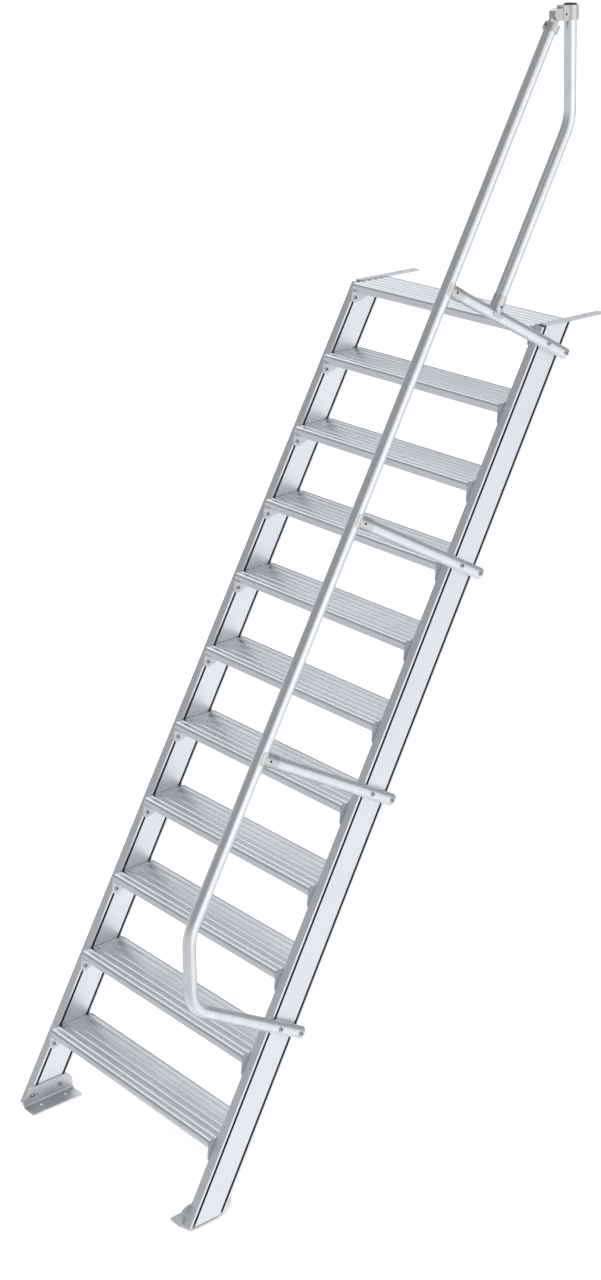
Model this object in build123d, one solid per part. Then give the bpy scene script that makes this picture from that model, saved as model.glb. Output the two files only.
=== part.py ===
from build123d import *
import os
from math import cos, radians, sin, tan

# Ship ladder: two hollow aluminium stringers at a steep pitch, eleven ribbed treads on end plates,
# one tubular handrail held off the right stringer by three struts, an upright post that closes the
# top of the rail, angle feet at the floor and flat tabs on the stringers' upper ends.
# The model is drawn with X across the ladder from its middle, +Y in the climbing direction from the
# point where the stringers' front edges meet the floor, and Z up from the floor. It is moved to the
# reference point under the left foot when it is written out.

# Whole ladder
clear_width = 800.0
pitch = 60.0
tread_count = 11
first_rise = 220.0
rise = 210.0

# Stringer profile
stringer_depth = 103.0
stringer_width = 30.0
stringer_wall = 2.5
stringer_corner = 2.0
floor_gap = 7.5
groove_inset = 11.0
slot_mouth = 8.0
slot_inner = 12.0
slot_lip = 2.0
slot_depth = 8.0
slot_wall = 2.0

# Tread profile
nose_reach = 21.0
rear_reach = 3.0
nose_height = 20.0
nose_radius = 11.0
nose_heel = 4.0
lip_height = 8.5
lip_setback = 9.0
shadow_gap = 2.5
tread_skin = 3.0
rib_height = 1.8
rib_width = 12.0
rib_pitch = 24.6
rib_start = 4.0
rear_height = 24.0
rear_bead = 3.0
web_height = 22.0
web_count = 2
screw_port = 4.5
port_wall = 2.2

# Tread end plates
plate_thickness = 4.0
plate_screw_drop = 49.0
plate_round = 16.0
screw_hole = 8.5

# Feet
foot_front = -1.0
foot_length = 171.0
foot_leg = 58.0
foot_flange = 55.0
foot_thickness = 4.0
foot_bend = 7.0
foot_corner = 30.0
foot_heel = 6.0
foot_bolt_height = 32.0
foot_slot = 34.0
ground_hole = 11.0
ground_hole_front = 48.0
ground_hole_spacing = 84.0
ground_hole_offset = 23.0

# Top tabs
tab_width = 30.0
tab_thickness = 6.0
tab_reach = 136.0
tab_lift = 2.0
tab_setback = 15.0
tab_seat = 1.0
tab_hole = 11.0
tab_hole_reach = 66.0

# Handrail, struts and post
tube_diameter = 37.0
tube_wall = 2.0
rail_distance = 422.5
rail_foot = 592.0
strut_spacing = 681.5
strut_count = 3
tube_overrun = 3.0
lower_upright = 20.6
lower_bend_radius = 85.0
upper_bend_radius = 150.0
post_distance = 221.0
post_upright = 1426.0
post_bend_radius = 150.0

# Fittings
socket_diameter = 40.0
socket_reach = 57.0
saddle_wall = 2.0
saddle_lap = 7.5
saddle_corner = 6.0
spigot_wall = 2.6
spigot_length = 30.0
fit_clearance = 0.15
collar_diameter = 48.0
collar_height = 43.0
collar_rise = 25.0
block_width = 30.0
block_reach = 41.0
pivot_reach = 56.0
pivot_boss = 34.0
pivot_pin = 10.0
lug_thickness = 9.0
rail_end_gap = 32.0
cup_length = 20.0
cap_height = 4.0
cap_plug = 25.0
cap_corner = 1.5

# Worked out from the sizes above
slope = radians(pitch)
half_clear = clear_width / 2
side_x = half_clear + stringer_width
rail_x = side_x + tube_diameter / 2
top_level = first_rise + (tread_count - 1) * rise
tab_under = top_level + tab_lift - tab_thickness
stringer_top = tab_under + tab_seat
origin_point = Vector(
    -half_clear + foot_flange / 2,
    foot_front + foot_length / 2,
    0,
)


def on_side(along, across, x=0.0):
    """Point at a length along the stringer from the floor and a depth behind its front edge."""
    return Vector(
        x,
        along * cos(slope) + across * sin(slope),
        along * sin(slope) - across * cos(slope),
    )


def along_at_level(level, across):
    """Length along the stringer at which a line at this depth reaches a level."""
    return (level + across * cos(slope)) / sin(slope)


def groove_point(level, groove, x=0.0):
    """Point of a groove's middle line at a level."""
    return on_side(along_at_level(level, groove), groove, x)


along_dir = on_side(1, 0)
across_dir = on_side(0, 1)
groove_lines = (groove_inset, stringer_depth - groove_inset)
strut_lines = [rail_foot + (index + 1) * strut_spacing for index in range(strut_count)]
tread_levels = [first_rise + index * rise for index in range(tread_count)]


def save(name, shape):
    """Write one piece, moved to the reference point."""
    shape = Pos(-origin_point.X, -origin_point.Y, -origin_point.Z) * shape
    shape.label = name
    export_step(shape, f"parts/{name}.step")


def bar_across(shape, start, width):
    """Bar of a flat shape that runs across the ladder from a point."""
    plane = Plane(origin=start, x_dir=(0, 1, 0), z_dir=(1, 0, 0))
    return extrude(plane * shape, width)


def tube_along(points, radii):
    """Tube whose straight runs are joined by tangent arcs."""
    if radii:
        path = FilletPolyline(*points, radius=radii)
    else:
        path = Polyline(*points)
    end = Plane(origin=path @ 0, z_dir=path % 0)
    outer = sweep(end * Circle(tube_diameter / 2), path=path)
    inner = sweep(end * Circle(tube_diameter / 2 - tube_wall), path=path)
    return outer - inner


# Stringers

def stringer_section():
    """Hollow box with two undercut slots in each side face."""
    outer = RectangleRounded(stringer_depth, stringer_width, stringer_corner)
    web_room = stringer_width - 2 * stringer_wall
    slot_block = slot_inner + 2 * slot_wall
    middle_length = stringer_depth - 2 * groove_inset - slot_block
    section = outer - Rectangle(middle_length, web_room)
    spine = stringer_width - 2 * (slot_depth + slot_lip)
    for groove in groove_lines:
        centre = groove - stringer_depth / 2
        for side in (-1, 1):
            mouth = Pos(centre, side * (stringer_width - slot_lip) / 2) * Rectangle(slot_mouth, slot_lip)
            pocket_middle = side * (spine + slot_depth) / 2
            pocket = Pos(centre, pocket_middle) * Rectangle(slot_inner, slot_depth)
            section -= mouth
            section -= pocket
    return section


def stringer(side):
    """Stringer cut level just above the floor and in the top tab's seat."""
    low = along_at_level(0, 0) - stringer_depth
    high = along_at_level(top_level, stringer_depth) + stringer_depth
    middle_x = side * (half_clear + stringer_width / 2)
    plane = Plane(
        origin=on_side(low, stringer_depth / 2, middle_x),
        x_dir=across_dir,
        z_dir=along_dir,
    )
    bar = extrude(plane * stringer_section(), high - low)
    keep = Pos(middle_x, 0, (floor_gap + stringer_top) / 2) * Box(
        2 * stringer_width, 4 * top_level, stringer_top - floor_gap
    )
    return bar & keep


# Treads

tread_front = -nose_height / 2 / tan(slope) - nose_reach
tread_rear = (stringer_depth + rear_reach) / sin(slope)
lip_bottom = -nose_height - shadow_gap - lip_height


def tread_section():
    """Extruded step: round nose, broad low ribs, set-back lip, rear flange and ribs for screws."""
    nose_depth = lip_setback + tread_skin
    nose = Pos(tread_front + nose_depth / 2, -nose_height / 2) * Rectangle(nose_depth, nose_height)
    nose = fillet(nose.vertices().sort_by_distance((tread_front, 0, 0))[0], nose_radius)
    nose = fillet(nose.vertices().sort_by_distance((tread_front, -nose_height, 0))[0], nose_heel)
    nose -= offset(nose, -tread_skin)
    top_front = tread_front + nose_depth - tread_skin
    top_length = tread_rear - top_front
    top = Pos(top_front + top_length / 2, -rib_height - tread_skin / 2) * Rectangle(top_length, tread_skin)
    lip_length = -lip_bottom - rib_height
    lip = Pos(top_front + tread_skin / 2, lip_bottom + lip_length / 2) * Rectangle(tread_skin, lip_length)
    rear = Pos(tread_rear - tread_skin / 2, -rear_height / 2) * Rectangle(tread_skin, rear_height)
    bead = Pos(tread_rear - rear_bead, -rear_bead) * Circle(rear_bead)
    section = nose + top + lip + rear + bead
    rib_count = int((tread_rear - rib_start) / rib_pitch) + 1
    rib_centres = [rib_start + index * rib_pitch for index in range(rib_count)]
    rib_radius = (rib_width ** 2 / 4 + rib_height ** 2) / (2 * rib_height)
    for centre in [tread_front + nose_depth] + rib_centres:
        crown = Pos(centre, -rib_radius) * Circle(rib_radius)
        section += crown & Pos(centre, -rib_height) * Rectangle(rib_width, 2 * rib_height)
    port_level = -web_height + screw_port / 2 + port_wall
    for index in range(web_count):
        centre = top_front + (index + 1) * (tread_rear - top_front) / (web_count + 1)
        section += Pos(centre, (port_level - rib_height) / 2) * Rectangle(
            tread_skin, -port_level - rib_height
        )
        section += Pos(centre, port_level) * Circle(screw_port / 2 + port_wall)
        section -= Pos(centre, port_level) * Circle(screw_port / 2)
    return section


def tread(level):
    """One step between its two end plates."""
    length = clear_width - 2 * plate_thickness
    return bar_across(tread_section(), groove_point(level, 0, -length / 2), length)


def end_plate(side, level):
    """Plate between a tread's end and the stringer, with a round tab below the nose."""
    inner_x = side * half_clear - max(side, 0) * plate_thickness
    tread_edge = groove_point(level, 0, inner_x)
    screws = [
        groove_point(level - plate_screw_drop, groove_lines[0], inner_x - plate_thickness),
        groove_point(level - rear_height / 2 - rib_height, groove_lines[1], inner_x - plate_thickness),
    ]
    tread_end = Polyline(
        (tread_front + nose_radius / 2, -nose_radius / 4),
        (tread_rear - rear_bead, -rear_bead / 2),
        (tread_rear, -rear_height),
        (tread_front, -nose_height + nose_heel),
        (tread_front, -nose_radius),
        close=True,
    )
    tab = Pos(screws[0].Y - tread_edge.Y, screws[0].Z - tread_edge.Z) * Circle(plate_round)
    outline = make_hull(tread_end.edges() + tab.edges())
    plate = bar_across(outline, tread_edge, plate_thickness)
    for screw in screws:
        plate -= bar_across(Circle(screw_hole / 2), screw, 3 * plate_thickness)
    return plate


# Feet

def foot_bracket(side):
    """Bent angle on the stringer's inner face with two holes for ground bolts in its flange."""
    leg = Pos(foot_thickness / 2, foot_leg / 2) * Rectangle(foot_thickness, foot_leg)
    flange = Pos(foot_flange / 2, foot_thickness / 2) * Rectangle(foot_flange, foot_thickness)
    angle = leg + flange
    inner_bend = angle.vertices().sort_by_distance((foot_thickness, foot_thickness, 0))[0]
    angle = fillet(inner_bend, foot_bend)
    outer_bend = angle.vertices().sort_by_distance((0, 0, 0))[0]
    angle = fillet(outer_bend, foot_bend + foot_thickness)
    plane = Plane(origin=(half_clear, foot_front, 0), x_dir=(-1, 0, 0), z_dir=(0, 1, 0))
    bracket = extrude(plane * angle, foot_length)
    leg_corners = bracket.edges().filter_by(Axis.X).group_by(Axis.Z)[-1]
    bracket = fillet(leg_corners, foot_corner)
    flange_corners = bracket.edges().filter_by(Axis.Z).group_by(Axis.X)[0]
    bracket = fillet(flange_corners, foot_heel)
    for index in range(2):
        hole_y = foot_front + ground_hole_front + index * ground_hole_spacing
        bracket -= Pos(half_clear - ground_hole_offset, hole_y, 0) * Cylinder(
            ground_hole / 2, 4 * foot_thickness
        )
    openings = (SlotOverall(foot_slot, screw_hole), Circle(screw_hole / 2))
    for opening, groove in zip(openings, groove_lines):
        start = groove_point(foot_bolt_height, groove, half_clear - 2 * foot_thickness)
        bracket -= bar_across(opening, start, 3 * foot_thickness)
    if side < 0:
        return mirror(bracket, about=Plane.YZ)
    return bracket


# Top tabs

def top_tab(side):
    """Flat bar seated on the stringer's sawn end that reaches back over the landing's edge."""
    face_level = tab_under + tab_thickness
    front = groove_point(stringer_top, 0).Y + tab_setback
    seat_rear = groove_point(stringer_top, stringer_depth).Y
    stringer_rear = groove_point(top_level, stringer_depth).Y
    far = stringer_rear + tab_reach
    outline = Polyline(
        (front, face_level),
        (front, stringer_top),
        (seat_rear, stringer_top),
        (seat_rear, tab_under),
        (far, tab_under),
        (far, face_level),
        close=True,
    )
    middle_x = side * (half_clear + stringer_width / 2)
    bar = bar_across(make_face(outline), Vector(middle_x - tab_width / 2, 0, 0), tab_width)
    hole_place = Pos(middle_x, stringer_rear + tab_hole_reach, tab_under)
    return bar - hole_place * Cylinder(tab_hole / 2, 3 * tab_thickness)


# Handrail, struts and post

tube_rear = stringer_depth + tube_overrun
lower_corner_across = (lower_upright - rail_foot * cos(slope)) / sin(slope)
upper_corner_along = (lower_upright + rail_distance * sin(slope)) / cos(slope)
pivot_y = post_upright - pivot_reach
pivot_along = (pivot_y + rail_distance * sin(slope)) / cos(slope)
rail_end_along = pivot_along - rail_end_gap
pivot_point = on_side(pivot_along, -rail_distance, rail_x)
post_top = pivot_point.Z + collar_rise
top_strut_along = strut_lines[-1]
post_corner_along = (post_upright + post_distance * sin(slope)) / cos(slope)


def bolt_holes(along):
    """Through holes for the two bolts of a tube on the stringer's side."""
    holes = None
    for groove in groove_lines:
        start = on_side(along, groove, side_x - tube_diameter)
        hole = bar_across(Circle(screw_hole / 2), start, 3 * tube_diameter)
        holes = hole if holes is None else holes + hole
    return holes


def handrail():
    """One bent tube from the stringer's side, up and over to the top of the post."""
    points = [
        on_side(rail_foot, tube_rear, rail_x),
        on_side(rail_foot, lower_corner_across, rail_x),
        on_side(upper_corner_along, -rail_distance, rail_x),
        on_side(rail_end_along, -rail_distance, rail_x),
    ]
    tube = tube_along(points, [lower_bend_radius, upper_bend_radius])
    return tube - bolt_holes(rail_foot)


def strut(along):
    """Straight tube from the stringer's side to the socket on the handrail."""
    points = [
        on_side(along, tube_rear, rail_x),
        on_side(along, -rail_distance + socket_reach, rail_x),
    ]
    return tube_along(points, []) - bolt_holes(along)


def post():
    """Tube that leaves the top strut beside the rail and turns upright to meet the rail's end."""
    start = top_strut_along + socket_reach
    points = [
        on_side(start, -post_distance, rail_x),
        on_side(post_corner_along, -post_distance, rail_x),
        Vector(rail_x, post_upright, post_top),
    ]
    return tube_along(points, [post_bend_radius])


def saddle_socket(centre, direction, carried):
    """Fitting that sits astride one tube and plugs into the end of another."""
    body = extrude(Plane(origin=centre, z_dir=direction) * Circle(socket_diameter / 2), socket_reach)
    saddle_radius = tube_diameter / 2 + saddle_wall
    saddle_plane = Plane(origin=centre - carried * socket_diameter / 2, z_dir=carried)
    body += extrude(saddle_plane * Circle(saddle_radius), socket_diameter)
    side_height = socket_reach + saddle_lap + saddle_corner
    side_view = Plane(
        origin=centre + direction * (side_height / 2 - saddle_lap) - Vector(2 * saddle_radius, 0, 0),
        x_dir=carried,
        z_dir=(1, 0, 0),
    )
    side_shape = RectangleRounded(socket_diameter, side_height, saddle_corner)
    body = body & extrude(side_view * side_shape, 4 * saddle_radius)
    plug_plane = Plane(origin=centre + direction * socket_reach, z_dir=direction)
    plug_radius = tube_diameter / 2 - tube_wall - fit_clearance
    plug = extrude(plug_plane * Circle(plug_radius), spigot_length)
    plug -= extrude(plug_plane * Circle(plug_radius - spigot_wall), spigot_length)
    seat_plane = Plane(origin=centre - carried * socket_diameter, z_dir=carried)
    seat = extrude(seat_plane * Circle(tube_diameter / 2), 2 * socket_diameter)
    return body + plug - seat


def rail_clamp(along):
    """Socket between a strut and the handrail."""
    return saddle_socket(on_side(along, -rail_distance, rail_x), across_dir, along_dir)


def post_tee():
    """Socket between the top strut and the post."""
    return saddle_socket(on_side(top_strut_along, -post_distance, rail_x), along_dir, across_dir)


def swivel_clamp():
    """Collar round the post's top whose block carries two lugs for the pivot."""
    middle = post_top - collar_height / 2
    body = Pos(rail_x, post_upright, middle) * Cylinder(collar_diameter / 2, collar_height)
    body += Pos(rail_x, post_upright - block_reach / 2, middle) * Box(
        block_width, block_reach, collar_height
    )
    body += Pos(rail_x, post_upright - pivot_reach / 2, pivot_point.Z) * Box(
        3 * lug_thickness, pivot_reach, pivot_boss
    )
    body += side_boss(pivot_boss / 2, 3 * lug_thickness)
    body -= Pos(*pivot_point) * Box(
        lug_thickness + 2 * fit_clearance, pivot_boss + 2 * fit_clearance, 2 * pivot_boss
    )
    body -= Pos(rail_x, post_upright, middle) * Cylinder(tube_diameter / 2, 2 * collar_height)
    return body - side_boss(pivot_pin / 2 + fit_clearance, 6 * lug_thickness)


def side_boss(radius, width):
    """Round bar across the ladder, through the pivot."""
    return bar_across(Circle(radius), pivot_point - Vector(width / 2, 0, 0), width)


def end_knuckle():
    """Cup on the handrail's end with the tongue of the pivot."""
    bottom = rail_end_along - cup_length
    cup_plane = Plane(origin=on_side(bottom, -rail_distance, rail_x), z_dir=along_dir)
    cup = extrude(cup_plane * Circle(collar_diameter / 2), cup_length + tube_wall)
    cup -= extrude(cup_plane * Circle(tube_diameter / 2), cup_length)
    rail_end = on_side(rail_end_along, -rail_distance, rail_x)
    neck_plane = Plane(origin=rail_end, x_dir=(1, 0, 0), z_dir=along_dir)
    neck = extrude(neck_plane * Rectangle(lug_thickness, pivot_boss - 2 * fit_clearance), rail_end_gap)
    tongue = side_boss(pivot_boss / 2 - fit_clearance, lug_thickness)
    return cup + neck + tongue - side_boss(pivot_pin / 2 + fit_clearance, 2 * lug_thickness)


def post_cap():
    """Plastic plug in the post's open top."""
    head = Pos(rail_x, post_upright, post_top + cap_height / 2) * Cylinder(tube_diameter / 2, cap_height)
    head = fillet(head.edges().group_by(Axis.Z)[-1], cap_corner)
    stem_radius = tube_diameter / 2 - tube_wall - fit_clearance
    stem = Pos(rail_x, post_upright, post_top - cap_plug / 2) * Cylinder(stem_radius, cap_plug)
    return head + stem


os.makedirs("parts", exist_ok=True)

for side, name in ((-1, "left"), (1, "right")):
    save(f"stringer_{name}", stringer(side))
    save(f"foot_bracket_{name}", foot_bracket(side))
    save(f"top_tab_{name}", top_tab(side))

for number, level in enumerate(tread_levels, start=1):
    save(f"tread_{number:02d}", tread(level))
    save(f"tread_plates_{number:02d}", Compound([end_plate(-1, level), end_plate(1, level)]))

save("handrail", handrail())
save("post", post())
for along, name in zip(strut_lines, ("lower", "middle", "upper")):
    save(f"strut_{name}", strut(along))
    save(f"rail_clamp_{name}", rail_clamp(along))
save("post_tee", post_tee())
save("post_swivel_clamp", swivel_clamp())
save("rail_end_knuckle", end_knuckle())
save("post_cap", post_cap())
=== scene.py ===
from math import cos, radians, sin, tan

import bpy
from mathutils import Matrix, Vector


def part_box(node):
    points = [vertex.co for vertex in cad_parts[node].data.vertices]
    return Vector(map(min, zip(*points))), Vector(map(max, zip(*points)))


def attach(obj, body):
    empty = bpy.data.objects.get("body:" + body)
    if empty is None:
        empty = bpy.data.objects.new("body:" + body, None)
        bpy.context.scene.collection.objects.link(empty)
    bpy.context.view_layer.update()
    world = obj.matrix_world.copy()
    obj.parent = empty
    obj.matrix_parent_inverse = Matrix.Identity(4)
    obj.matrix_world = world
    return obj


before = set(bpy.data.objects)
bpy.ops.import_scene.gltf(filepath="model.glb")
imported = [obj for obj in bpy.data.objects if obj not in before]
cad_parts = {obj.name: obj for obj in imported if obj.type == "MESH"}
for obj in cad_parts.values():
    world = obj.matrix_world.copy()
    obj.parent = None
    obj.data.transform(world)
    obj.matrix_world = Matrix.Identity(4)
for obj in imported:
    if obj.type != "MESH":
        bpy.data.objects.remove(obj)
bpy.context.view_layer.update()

# A ship ladder of drawn aluminium on a white studio floor. Lengths are in metres.
# The stringers lean at this pitch, and places on their sides are given as a length along the front
# edge from the floor and a depth behind that edge.
PITCH = radians(60)
GROOVE_INSET = 0.011
STRINGER_DEPTH = 0.103
SLOT_SKIN = 0.00015
MIDDLE_X = sum(corner.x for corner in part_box("tread_01")) / 2
EDGE_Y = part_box("stringer_right")[0].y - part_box("stringer_right")[0].z / tan(PITCH)
SIDE_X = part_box("stringer_right")[1].x
INNER_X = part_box("stringer_right")[0].x
TUBE_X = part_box("strut_middle")[1].x

ALONG = Vector((0, cos(PITCH), sin(PITCH)))
ACROSS = Vector((0, sin(PITCH), -cos(PITCH)))


def on_side(along, across, x):
    """Point beside a stringer, from a length along it and a depth behind its front edge."""
    return Vector((x, EDGE_Y, 0)) + along * ALONG + across * ACROSS


def along_of(node):
    """Length along the stringer of a strut's middle."""
    low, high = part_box(node)
    middle = (low + high) / 2 - Vector((0, EDGE_Y, 0))
    return middle.dot(ALONG)


# Materials

def socket_values(shader, **values):
    """Set plain numbers and colours on a shader's own sockets."""
    for name, value in values.items():
        shader.inputs[name.replace("_", " ")].default_value = value


def start_material(name):
    """Empty node material with a shader wired to its output."""
    material = bpy.data.materials.new(name)
    material.use_nodes = True
    nodes = material.node_tree.nodes
    links = material.node_tree.links
    shader = nodes["Principled BSDF"]
    return material, nodes, links, shader


def placed(nodes, links, turn=(0, 0, 0), grain=(1, 1, 1), centre=(0, 0, 0)):
    """Object coordinates, turned to the piece's own lie and divided by a grain size for each axis."""
    coords = nodes.new("ShaderNodeTexCoord")
    mapping = nodes.new("ShaderNodeMapping")
    mapping.vector_type = "TEXTURE"
    mapping.inputs["Location"].default_value = centre
    mapping.inputs["Rotation"].default_value = turn
    mapping.inputs["Scale"].default_value = grain
    links.new(coords.outputs["Object"], mapping.inputs["Vector"])
    return mapping.outputs["Vector"]


def noise(nodes, links, vector, scale=1.0, detail=2.0, rough=0.5):
    """Noise in one channel."""
    texture = nodes.new("ShaderNodeTexNoise")
    texture.inputs["Scale"].default_value = scale
    texture.inputs["Detail"].default_value = detail
    texture.inputs["Roughness"].default_value = rough
    links.new(vector, texture.inputs["Vector"])
    return texture.outputs["Fac"]


def spread(nodes, links, value, low, high, low_in=0.3, high_in=0.7):
    """Value stretched from one range to another."""
    ranged = nodes.new("ShaderNodeMapRange")
    ranged.inputs["From Min"].default_value = low_in
    ranged.inputs["From Max"].default_value = high_in
    ranged.inputs["To Min"].default_value = low
    ranged.inputs["To Max"].default_value = high
    links.new(value, ranged.inputs["Value"])
    return ranged.outputs["Result"]


def blend_colours(nodes, links, factor, first, second):
    """Colour between two, by a factor. Either may be a colour or a socket."""
    mix = nodes.new("ShaderNodeMix")
    mix.data_type = "RGBA"
    links.new(factor, mix.inputs["Factor"])
    for name, colour in (("A", first), ("B", second)):
        socket = [s for s in mix.inputs if s.name == name and s.type == "RGBA"][0]
        if isinstance(colour, bpy.types.NodeSocket):
            links.new(colour, socket)
        else:
            socket.default_value = (*colour, 1)
    return [s for s in mix.outputs if s.type == "RGBA"][0]


def calculate(nodes, links, operation, first, second=0.0):
    """One step of arithmetic on sockets or numbers."""
    step = nodes.new("ShaderNodeMath")
    step.operation = operation
    for index, value in enumerate((first, second)):
        if isinstance(value, bpy.types.NodeSocket):
            links.new(value, step.inputs[index])
        else:
            step.inputs[index].default_value = value
    return step.outputs["Value"]


def bump(nodes, links, shader, height, depth):
    """Relief on the shader's normal."""
    relief = nodes.new("ShaderNodeBump")
    relief.inputs["Distance"].default_value = depth
    links.new(height, relief.inputs["Height"])
    links.new(relief.outputs["Normal"], shader.inputs["Normal"])


def drawn_metal(name, turn, grain, light, dark, rough, relief):
    """Extruded aluminium: die lines along the bar, soft stains and a roughness that follows them."""
    material, nodes, links, shader = start_material(name)
    lines = noise(nodes, links, placed(nodes, links, turn, grain), 1.0, 3.0, 0.6)
    stains = noise(nodes, links, placed(nodes, links), 5.0, 3.0, 0.55)
    tone = calculate(nodes, links, "MULTIPLY_ADD", lines, LINE_SHARE)
    links.new(calculate(nodes, links, "MULTIPLY", stains, 1 - LINE_SHARE), tone.node.inputs[2])
    colour = blend_colours(nodes, links, spread(nodes, links, tone, 0, 1, 0.35, 0.65), dark, light)
    links.new(colour, shader.inputs["Base Color"])
    ranged = spread(nodes, links, tone, rough + ROUGH_SWAY, rough - ROUGH_SWAY)
    links.new(ranged, shader.inputs["Roughness"])
    bump(nodes, links, shader, lines, relief)
    socket_values(shader, Metallic=1.0)
    return material, nodes, links, shader, colour


STRINGER_TURN = (PITCH - radians(90), 0, 0)
FINE = 0.0011
LONG = 0.35
LINE_SHARE = 0.55
ROUGH_SWAY = 0.05
LINE_RELIEF = 0.00003
# Painted shade colour for the insides of the stringer slots.
SLOT_PAINTED_SHADE = (0.30, 0.31, 0.325)
# Painted shade colour down in screw sockets, and how far the occlusion that lays it on reaches.
SOCKET_PAINTED_SHADE = (0.02, 0.02, 0.022)
PAINTED_SHADE_REACH = 0.004


def stringer_metal():
    """Drawn aluminium with painted shade inside its slots."""
    grain = (FINE, FINE, LONG)
    material, nodes, links, shader, colour = drawn_metal(
        "drawn_stringer", STRINGER_TURN, grain, (0.93, 0.94, 0.96), (0.85, 0.865, 0.89), 0.36, LINE_RELIEF
    )
    # Painted shade: a mask picks the surfaces sunk behind the stringer's faces, away from its front and
    # rear edges, and gives them the darker slot colour.
    own = nodes.new("ShaderNodeSeparateXYZ")
    centre = (MIDDLE_X, EDGE_Y, 0)
    links.new(placed(nodes, links, STRINGER_TURN, centre=centre), own.inputs[0])
    from_middle = calculate(nodes, links, "ABSOLUTE", own.outputs["X"])
    bar_middle = (SIDE_X + INNER_X) / 2 - MIDDLE_X
    off_bar = calculate(nodes, links, "SUBTRACT", from_middle, bar_middle)
    off_bar = calculate(nodes, links, "ABSOLUTE", off_bar)
    sunk = calculate(nodes, links, "LESS_THAN", off_bar, (SIDE_X - INNER_X) / 2 - SLOT_SKIN)
    off_centre = calculate(nodes, links, "SUBTRACT", own.outputs["Y"], STRINGER_DEPTH / 2)
    off_centre = calculate(nodes, links, "ABSOLUTE", off_centre)
    between = calculate(nodes, links, "LESS_THAN", off_centre, STRINGER_DEPTH / 2 - GROOVE_INSET / 3)
    inside = calculate(nodes, links, "MULTIPLY", sunk, between)
    slot_shaded = blend_colours(nodes, links, inside, colour, SLOT_PAINTED_SHADE)
    links.new(slot_shaded, shader.inputs["Base Color"])
    return material


def tread_metal():
    """Drawn aluminium with its die lines across the ladder."""
    grain = (LONG, FINE, FINE)
    return drawn_metal(
        "drawn_tread", (0, 0, 0), grain, (0.88, 0.89, 0.91), (0.79, 0.805, 0.82), 0.29, LINE_RELIEF
    )[0]


def plate_metal():
    """Rolled aluminium sheet with a fine mottle."""
    material, nodes, links, shader = start_material("rolled_plate")
    mottle = noise(nodes, links, placed(nodes, links), 260.0, 4.0, 0.6)
    cloud = noise(nodes, links, placed(nodes, links), 14.0, 2.0)
    tone = calculate(nodes, links, "MULTIPLY", calculate(nodes, links, "ADD", mottle, cloud), 0.5)
    colour = blend_colours(
        nodes, links, spread(nodes, links, tone, 0, 1, 0.4, 0.6), (0.66, 0.675, 0.69), (0.76, 0.775, 0.79)
    )
    links.new(colour, shader.inputs["Base Color"])
    links.new(spread(nodes, links, mottle, 0.5, 0.38), shader.inputs["Roughness"])
    bump(nodes, links, shader, mottle, 0.00004)
    socket_values(shader, Metallic=1.0)
    return material


def tube_metal():
    """Satin tube: nearly even, with faint draw marks and smears."""
    material, nodes, links, shader = start_material("satin_tube")
    smears = noise(nodes, links, placed(nodes, links, STRINGER_TURN, (0.02, 0.02, 0.25)), 1.0, 3.0)
    grain = noise(nodes, links, placed(nodes, links), 900.0, 2.0)
    colour = blend_colours(
        nodes, links, spread(nodes, links, smears, 0, 1), (0.84, 0.855, 0.875), (0.91, 0.92, 0.935)
    )
    links.new(colour, shader.inputs["Base Color"])
    links.new(spread(nodes, links, smears, 0.27, 0.21), shader.inputs["Roughness"])
    bump(nodes, links, shader, grain, 0.000012)
    socket_values(shader, Metallic=1.0)
    return material


def cast_metal():
    """Tumbled aluminium casting with a grainy skin."""
    material, nodes, links, shader = start_material("tumbled_casting")
    pits = noise(nodes, links, placed(nodes, links), 420.0, 4.0, 0.65)
    cloud = noise(nodes, links, placed(nodes, links), 40.0, 2.0)
    colour = blend_colours(
        nodes, links, spread(nodes, links, cloud, 0, 1), (0.66, 0.658, 0.645), (0.75, 0.748, 0.735)
    )
    links.new(colour, shader.inputs["Base Color"])
    links.new(spread(nodes, links, pits, 0.38, 0.26), shader.inputs["Roughness"])
    bump(nodes, links, shader, pits, 0.00012)
    socket_values(shader, Metallic=1.0)
    return material


def plug_plastic():
    """Black moulded plastic with a fine texture."""
    material, nodes, links, shader = start_material("black_plug")
    grain = noise(nodes, links, placed(nodes, links), 1500.0, 2.0)
    colour = blend_colours(nodes, links, grain, (0.012, 0.012, 0.013), (0.03, 0.03, 0.032))
    links.new(colour, shader.inputs["Base Color"])
    links.new(spread(nodes, links, grain, 0.5, 0.36), shader.inputs["Roughness"])
    bump(nodes, links, shader, grain, 0.00003)
    socket_values(shader, Specular_IOR_Level=0.2)
    return material


def screw_metal(name, dull, bright):
    """Steel of a screw, with painted shade down in its socket and in other close hollows."""
    material, nodes, links, shader = start_material(name)
    cloud = noise(nodes, links, placed(nodes, links), 300.0, 3.0)
    colour = blend_colours(nodes, links, spread(nodes, links, cloud, 0, 1), dull, bright)
    # Painted shade: ambient occlusion over a few millimetres blends the colour towards near-black in the
    # socket and where the head meets the washer.
    occlusion_shade = nodes.new("ShaderNodeAmbientOcclusion")
    occlusion_shade.samples = 8
    occlusion_shade.inputs["Distance"].default_value = PAINTED_SHADE_REACH
    unshaded_share = spread(nodes, links, occlusion_shade.outputs["AO"], 0, 1, 0.45, 0.8)
    links.new(blend_colours(nodes, links, unshaded_share, SOCKET_PAINTED_SHADE, colour), shader.inputs["Base Color"])
    links.new(spread(nodes, links, cloud, 0.4, 0.25), shader.inputs["Roughness"])
    bump(nodes, links, shader, cloud, 0.00002)
    socket_values(shader, Metallic=1.0)
    return material


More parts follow.
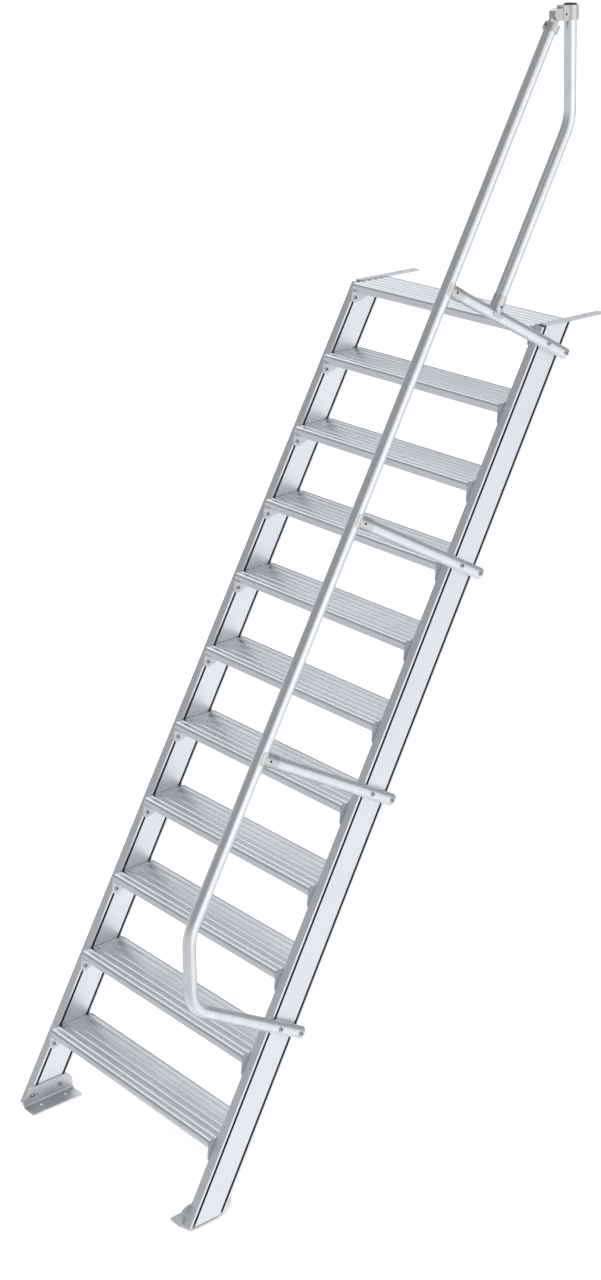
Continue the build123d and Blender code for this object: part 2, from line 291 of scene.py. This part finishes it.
FINISHES = {
    "stringer": stringer_metal(),
    "tread": tread_metal(),
    "bracket": plate_metal(),
    "tube": tube_metal(),
    "casting": cast_metal(),
    "cap": plug_plastic(),
    "screw": screw_metal("plated_screw", (0.55, 0.56, 0.57), (0.74, 0.75, 0.76)),
    "grub": screw_metal("black_screw", (0.03, 0.03, 0.032), (0.08, 0.08, 0.085)),
}
NODE_FINISH = (
    ("stringer", "stringer"),
    ("tread_plates", "bracket"),
    ("tread", "tread"),
    ("foot_bracket", "bracket"),
    ("top_tab", "bracket"),
    ("handrail", "tube"),
    ("strut", "tube"),
    ("post_tee", "casting"),
    ("post_swivel", "casting"),
    ("post_cap", "cap"),
    ("post", "tube"),
    ("rail_", "casting"),
)


def finish_nodes():
    """Give every solid of the model its material."""
    for name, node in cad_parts.items():
        finish = next(kind for start, kind in NODE_FINISH if name.startswith(start))
        for slot in node.material_slots:
            slot.material = FINISHES[finish]


finish_nodes()


# Screws

# The dome's ball sits this share of the head's height too low, and the washer this share of its
# thickness too high. A hexagon's width across its flats is this many times its radius.
SUNK_SHARE = 0.15
WASHER_LIFT = 0.1
HEXAGON = 1.732


def screw_tree():
    """Nodes that put a button-headed screw with a hexagon socket on each point, facing its own way."""
    tree = bpy.data.node_groups.new("button_screws", "GeometryNodeTree")
    face = tree.interface
    face.new_socket("Places", in_out="INPUT", socket_type="NodeSocketGeometry")
    sizes = {
        "Head Diameter": 0.014,
        "Head Height": 0.0045,
        "Skirt": 0.0015,
        "Socket Width": 0.005,
        "Socket Depth": 0.0026,
        "Washer Diameter": 0.016,
        "Washer Thickness": 0.0015,
    }
    for name, value in sizes.items():
        face.new_socket(name, in_out="INPUT", socket_type="NodeSocketFloat").default_value = value
    face.new_socket("Seed", in_out="INPUT", socket_type="NodeSocketInt").default_value = 7
    face.new_socket("Material", in_out="INPUT", socket_type="NodeSocketMaterial")
    face.new_socket("Screws", in_out="OUTPUT", socket_type="NodeSocketGeometry")
    add = tree.nodes.new
    link = tree.links.new
    given = add("NodeGroupInput")

    def worked(operation, first, second):
        return calculate(tree.nodes, tree.links, operation, first, second)

    def along_axis(height):
        point = add("ShaderNodeCombineXYZ")
        link(height, point.inputs["Z"])
        return point.outputs[0]

    def moved(mesh, height, squash=None):
        step = add("GeometryNodeTransform")
        link(mesh, step.inputs["Geometry"])
        link(along_axis(height), step.inputs["Translation"])
        if squash is not None:
            scale = add("ShaderNodeCombineXYZ")
            scale.inputs["X"].default_value = 1
            scale.inputs["Y"].default_value = 1
            link(squash, scale.inputs["Z"])
            link(scale.outputs[0], step.inputs["Scale"])
        return step.outputs["Geometry"]

    def round_bar(radius, depth, sides):
        bar = add("GeometryNodeMeshCylinder")
        bar.inputs["Vertices"].default_value = sides
        link(radius, bar.inputs["Radius"])
        link(depth, bar.inputs["Depth"])
        return bar.outputs["Mesh"]

    def cut(body, tool):
        step = add("GeometryNodeMeshBoolean")
        step.operation = "DIFFERENCE"
        link(body, step.inputs["Mesh 1"])
        link(tool, step.inputs["Mesh 2"])
        return step.outputs["Mesh"]

    half = worked("MULTIPLY", given.outputs["Head Diameter"], 0.5)
    height = given.outputs["Head Height"]
    ball = add("GeometryNodeMeshUVSphere")
    ball.inputs["Segments"].default_value = 24
    ball.inputs["Rings"].default_value = 12
    link(half, ball.inputs["Radius"])
    rise = worked("MULTIPLY", worked("DIVIDE", height, half), 1 + SUNK_SHARE)
    lift = worked("MULTIPLY", height, -SUNK_SHARE)
    dome = moved(ball.outputs["Mesh"], lift, rise)
    under = add("GeometryNodeMeshCube")
    block = worked("MULTIPLY", given.outputs["Head Diameter"], 2)
    side = add("ShaderNodeCombineXYZ")
    for axis in "XYZ":
        link(block, side.inputs[axis])
    link(side.outputs[0], under.inputs["Size"])
    drop = worked("MULTIPLY", worked("ADD", worked("MULTIPLY", block, 0.5), given.outputs["Skirt"]), -1)
    top = cut(dome, moved(under.outputs["Mesh"], drop))
    socket_radius = worked("DIVIDE", given.outputs["Socket Width"], HEXAGON)
    key_depth = worked("MULTIPLY", given.outputs["Socket Depth"], 2)
    head = cut(top, moved(round_bar(socket_radius, key_depth, 6), height))
    washer_radius = worked("MULTIPLY", given.outputs["Washer Diameter"], 0.5)
    washer = moved(
        round_bar(washer_radius, given.outputs["Washer Thickness"], 32),
        worked("MULTIPLY", given.outputs["Washer Thickness"], WASHER_LIFT),
    )
    joined = add("GeometryNodeJoinGeometry")
    link(head, joined.inputs["Geometry"])
    link(washer, joined.inputs["Geometry"])
    facing = add("GeometryNodeInputNamedAttribute")
    facing.data_type = "FLOAT_VECTOR"
    facing.inputs["Name"].default_value = "facing"
    aim = add("FunctionNodeAlignRotationToVector")
    aim.axis = "Z"
    link(facing.outputs["Attribute"], aim.inputs["Vector"])
    spin = add("FunctionNodeRandomValue")
    spin.data_type = "FLOAT"
    spin_high = [s for s in spin.inputs if s.name == "Max" and s.type == "VALUE"][0]
    spin_high.default_value = radians(60)
    link(given.outputs["Seed"], spin.inputs["Seed"])
    own_turn = add("FunctionNodeAxisAngleToRotation")
    own_turn.inputs["Axis"].default_value = (0, 0, 1)
    link([s for s in spin.outputs if s.type == "VALUE"][0], own_turn.inputs["Angle"])
    turned = add("FunctionNodeRotateRotation")
    turned.rotation_space = "LOCAL"
    link(aim.outputs["Rotation"], turned.inputs["Rotation"])
    link(own_turn.outputs["Rotation"], turned.inputs["Rotate By"])
    place = add("GeometryNodeInstanceOnPoints")
    link(given.outputs["Places"], place.inputs["Points"])
    link(joined.outputs["Geometry"], place.inputs["Instance"])
    link(turned.outputs["Rotation"], place.inputs["Rotation"])
    real = add("GeometryNodeRealizeInstances")
    link(place.outputs["Instances"], real.inputs["Geometry"])
    dressed = add("GeometryNodeSetMaterial")
    link(real.outputs["Geometry"], dressed.inputs["Geometry"])
    link(given.outputs["Material"], dressed.inputs["Material"])
    result = add("NodeGroupOutput")
    link(dressed.outputs["Geometry"], result.inputs["Screws"])
    return tree


SCREWS = screw_tree()


def add_screws(name, places, finish, **sizes):
    """One mesh with a screw at each place, given as a point and the way the head faces."""
    points = bpy.data.meshes.new(name + "_places")
    points.from_pydata([tuple(point) for point, _ in places], [], [])
    facing = points.attributes.new("facing", "FLOAT_VECTOR", "POINT")
    for index, (_, way) in enumerate(places):
        facing.data[index].vector = way
    holder = bpy.data.objects.new(name + "_places", points)
    bpy.context.scene.collection.objects.link(holder)
    modifier = holder.modifiers.new("screws", "NODES")
    modifier.node_group = SCREWS
    wanted = {**sizes, "Material": FINISHES[finish]}
    for item in SCREWS.interface.items_tree:
        if item.in_out == "INPUT" and item.name in wanted:
            modifier[item.identifier] = wanted[item.name]
    bpy.context.view_layer.update()
    graph = bpy.context.evaluated_depsgraph_get()
    mesh = bpy.data.meshes.new_from_object(holder.evaluated_get(graph))
    mesh.name = name
    holder.modifiers.remove(modifier)
    bpy.data.objects.remove(holder)
    piece = bpy.data.objects.new(name, mesh)
    bpy.context.scene.collection.objects.link(piece)
    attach(piece, "root")
    return piece


# The screws stand in the stringers' grooves and on the fittings' outer sides, at the solids' own sizes.
RIGHT = Vector((1, 0, 0))
GROOVES = (GROOVE_INSET, STRINGER_DEPTH - GROOVE_INSET)
RAIL_FOOT = 0.592
PLATE_DROPS = (0.049, 0.0138)
FOOT_BOLT_HEIGHT = 0.032
FOOT_LEG = 0.004
SET_SCREW_REACH = 0.025
RAIL_DISTANCE = 0.4225
POST_DISTANCE = 0.221
SOCKET_RADIUS = 0.020
RAIL_X = (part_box("strut_middle")[0].x + TUBE_X) / 2
PIVOT_ALONG = 3.4718
PIVOT_REACH = 0.056
PIVOT_RADIUS = 0.005
LUG_REACH = 0.0135
BLOCK_SCREW_REACH = 0.030
BLOCK_HALF = 0.015
CUP_SCREW_DROP = 0.042
CUP_RADIUS = 0.024
BOLT = {
    "Head Diameter": 0.013,
    "Head Height": 0.0045,
    "Socket Width": 0.0058,
    "Socket Depth": 0.0034,
    "Washer Diameter": 0.015,
    "Washer Thickness": 0.0012,
}
GRUB = {
    "Head Diameter": 0.0075,
    "Head Height": 0.0007,
    "Socket Width": 0.004,
    "Socket Depth": 0.0014,
    "Washer Diameter": 0.006,
}


def at_level(level, groove, x):
    """Point of a groove's middle line at a level."""
    return on_side((level + groove * cos(PITCH)) / sin(PITCH), groove, x)


def tread_screws():
    """Two screws through each end plate, into the stringer's grooves."""
    places = []
    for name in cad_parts:
        if name.startswith("tread_") and "plates" not in name:
            low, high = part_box(name)
            for x, facing in ((low.x, RIGHT), (high.x, -RIGHT)):
                for drop, groove in zip(PLATE_DROPS, GROOVES):
                    places.append((at_level(high.z - drop, groove, x), facing))
    return places


def foot_screws():
    """Two screws through each foot's upright leg."""
    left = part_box("foot_bracket_left")[0].x + FOOT_LEG
    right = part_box("foot_bracket_right")[1].x - FOOT_LEG
    places = []
    for x, facing in ((left, RIGHT), (right, -RIGHT)):
        for groove in GROOVES:
            places.append((at_level(FOOT_BOLT_HEIGHT, groove, x), facing))
    return places


def set_screws():
    """Small screws in the sockets, on the outer side."""
    rail_across = -RAIL_DISTANCE + SET_SCREW_REACH
    places = []
    for name in ("lower", "middle", "upper"):
        places.append(on_side(along_of(f"strut_{name}"), rail_across, RAIL_X + SOCKET_RADIUS))
    tee_along = along_of("strut_upper") + SET_SCREW_REACH
    places.append(on_side(tee_along, -POST_DISTANCE, RAIL_X + SOCKET_RADIUS))
    block = on_side(PIVOT_ALONG, -RAIL_DISTANCE, RAIL_X + BLOCK_HALF)
    places.append(block + Vector((0, PIVOT_REACH - BLOCK_SCREW_REACH, 0)))
    cup = on_side(PIVOT_ALONG - CUP_SCREW_DROP, -RAIL_DISTANCE - CUP_RADIUS, RAIL_X)
    return [(place, RIGHT) for place in places] + [(cup, -ACROSS)]


def add_pivot_pin():
    """Plain pin through the swivel's lugs, with small bevels and flush ends."""
    centre = on_side(PIVOT_ALONG, -RAIL_DISTANCE, RAIL_X)
    bevel = 0.0005
    sides = 40
    rings = (
        (-LUG_REACH, PIVOT_RADIUS - bevel),
        (-LUG_REACH + bevel, PIVOT_RADIUS),
        (LUG_REACH - bevel, PIVOT_RADIUS),
        (LUG_REACH, PIVOT_RADIUS - bevel),
    )
    corners = []
    for reach, radius in rings:
        for side in range(sides):
            angle = radians(360) * side / sides
            corners.append(centre + Vector((reach, radius * cos(angle), radius * sin(angle))))
    faces = [tuple(range(sides))[::-1], tuple(range(3 * sides, 4 * sides))]
    for ring in range(3):
        start = ring * sides
        for side in range(sides):
            near = start + side
            far = start + (side + 1) % sides
            faces.append((near, far, far + sides, near + sides))
    mesh = bpy.data.meshes.new("pivot_pin")
    mesh.from_pydata([tuple(corner) for corner in corners], [], faces)
    mesh.materials.append(FINISHES["casting"])
    pin = bpy.data.objects.new("pivot_pin", mesh)
    bpy.context.scene.collection.objects.link(pin)
    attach(pin, "root")


tube_lines = [RAIL_FOOT] + [along_of(f"strut_{name}") for name in ("lower", "middle", "upper")]
tube_bolts = [(on_side(along, groove, TUBE_X), RIGHT) for along in tube_lines for groove in GROOVES]
add_screws("tube_bolts", tube_bolts, "screw", **BOLT)
add_screws("tread_screws", tread_screws(), "screw", **BOLT)
add_screws("foot_screws", foot_screws(), "screw", **BOLT)
add_screws("set_screws", set_screws(), "grub", **GRUB)
add_pivot_pin()


# Studio

def studio_floor():
    """Plain pale floor, wide enough to reach the horizon."""
    half = 60.0
    mesh = bpy.data.meshes.new("floor")
    corners = [(-half, -half, 0), (half, -half, 0), (half, half, 0), (-half, half, 0)]
    mesh.from_pydata(corners, [], [(0, 1, 2, 3)])
    floor = bpy.data.objects.new("floor", mesh)
    bpy.context.scene.collection.objects.link(floor)
    material, nodes, links, shader = start_material("pale_floor")
    cloud = noise(nodes, links, placed(nodes, links), 1.5, 2.0)
    colour = blend_colours(nodes, links, cloud, (0.87, 0.87, 0.875), (0.885, 0.885, 0.89))
    links.new(colour, shader.inputs["Base Color"])
    socket_values(shader, Roughness=0.8)
    mesh.materials.append(material)
    floor.visible_glossy = False


def lobe(nodes, links, direction, way, rim, core, strength):
    """Soft bright patch of the room round one direction."""
    toward = nodes.new("ShaderNodeVectorMath")
    toward.operation = "DOT_PRODUCT"
    toward.inputs[1].default_value = Vector(way).normalized()
    links.new(direction, toward.inputs[0])
    patch = spread(nodes, links, toward.outputs["Value"], 0, strength, rim, core)
    patch.node.interpolation_type = "SMOOTHSTEP"
    return patch


def studio_light():
    """White room for the camera. The metal sees a dim ceiling, a pale floor and soft bright patches."""
    world = bpy.data.worlds.new("studio")
    world.use_nodes = True
    bpy.context.scene.world = world
    nodes = world.node_tree.nodes
    links = world.node_tree.links
    room = nodes["Background"]
    coords = nodes.new("ShaderNodeTexCoord")
    direction = coords.outputs["Generated"]
    lie = nodes.new("ShaderNodeSeparateXYZ")
    links.new(direction, lie.inputs[0])
    level = spread(nodes, links, lie.outputs["Z"], FLOOR_GLOW, CEILING_GLOW, FLOOR_TOP, CEILING_FOOT)
    level.node.interpolation_type = "SMOOTHSTEP"
    for way, rim, core, strength in ROOM_LOBES:
        patch = lobe(nodes, links, direction, way, rim, core, strength)
        level = calculate(nodes, links, "ADD", level, patch)
    links.new(level, room.inputs["Strength"])
    room.inputs["Color"].default_value = ROOM_COLOUR
    white = nodes.new("ShaderNodeBackground")
    white.inputs["Color"].default_value = (1, 1, 1, 1)
    rays = nodes.new("ShaderNodeLightPath")
    choice = nodes.new("ShaderNodeMixShader")
    links.new(rays.outputs["Is Camera Ray"], choice.inputs["Fac"])
    links.new(room.outputs[0], choice.inputs[1])
    links.new(white.outputs[0], choice.inputs[2])
    links.new(choice.outputs[0], nodes["World Output"].inputs["Surface"])


def floor_wash():
    """Wide even light from above that brightens the floor and leaves the metal to the room."""
    light = bpy.data.lights.new("floor_wash", "SUN")
    light.energy = WASH_ENERGY
    light.angle = WASH_ANGLE
    lamp = bpy.data.objects.new("floor_wash", light)
    bpy.context.scene.collection.objects.link(lamp)
    lamp.visible_glossy = False


# Each patch of the room has the way to its middle, the cosines at its rim and core, and its strength.
FLOOR_GLOW = 0.63
CEILING_GLOW = 0.34
FLOOR_TOP = -0.1
CEILING_FOOT = 0.35
WASH_ENERGY = 4.5
WASH_ANGLE = radians(160)
ROOM_COLOUR = (0.955, 0.975, 1.0, 1)
ROOM_LOBES = (
    ((0.984, 0.034, 0.174), 0.72, 0.95, 0.50),
    ((0.742, 0.520, -0.423), 0.72, 0.95, 0.28),
    ((-0.65, 0.375, 0.66), 0.74, 0.95, 0.47),
    ((-0.491, 0.199, 0.848), 0.80, 0.97, 0.38),
    ((0.0, 0.0, -1.0), 0.35, 0.95, 0.25),
)
studio_floor()
studio_light()
floor_wash()
bpy.context.scene.view_settings.view_transform = "Standard"


# Camera

CAMERA_PLACE = (5.5593, -3.3818, 3.9171)
CAMERA_TURN = (77.569, 0.331, 48.023)
FOCAL_PIXELS = 2367.0
FRAME_HEIGHT = 1280.0
FRAME_SHIFT = (-0.115, -0.28)
SENSOR_WIDTH = 36.0
FAR_CLIP = 500.0


def photo_camera():
    """Camera at the photograph's viewing angle."""
    data = bpy.data.cameras.new("camera")
    data.sensor_width = SENSOR_WIDTH
    data.lens = FOCAL_PIXELS / FRAME_HEIGHT * data.sensor_width
    data.shift_x, data.shift_y = FRAME_SHIFT
    data.clip_end = FAR_CLIP
    camera = bpy.data.objects.new("camera", data)
    bpy.context.scene.collection.objects.link(camera)
    camera.location = CAMERA_PLACE
    camera.rotation_euler = [radians(angle) for angle in CAMERA_TURN]
    bpy.context.scene.camera = camera


photo_camera()
